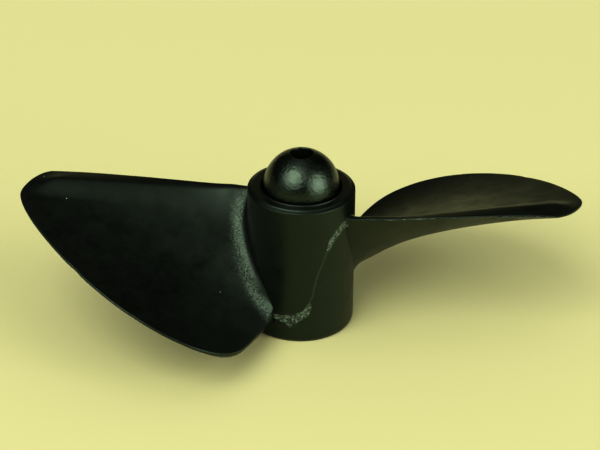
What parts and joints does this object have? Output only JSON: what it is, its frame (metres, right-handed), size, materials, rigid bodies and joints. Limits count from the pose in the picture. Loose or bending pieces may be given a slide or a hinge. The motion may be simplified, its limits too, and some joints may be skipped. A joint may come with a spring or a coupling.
{
  "type": "model boat propeller",
  "caption": "Small moulded plastic propeller with wide, low-pitched blades on a stout hub, and a domed hub core bored for a shaft.",
  "frame": {"origin": "middle of the hub's front end face, on the shaft axis, where the propeller stands", "axes": "+Z along the shaft axis towards the domed aft end, +X along the two blades"},
  "size_m": [0.05, 0.0274, 0.0167],
  "materials": {
    "black_nylon": "satin moulded, scuffed along the fillets and the parting line",
    "polished_nylon": "glossy, finely scratched"
  },
  "bodies": {
    "root": {"hub_and_blades": "black_nylon", "domed_core": "polished_nylon"}
  },
  "joints": []
}
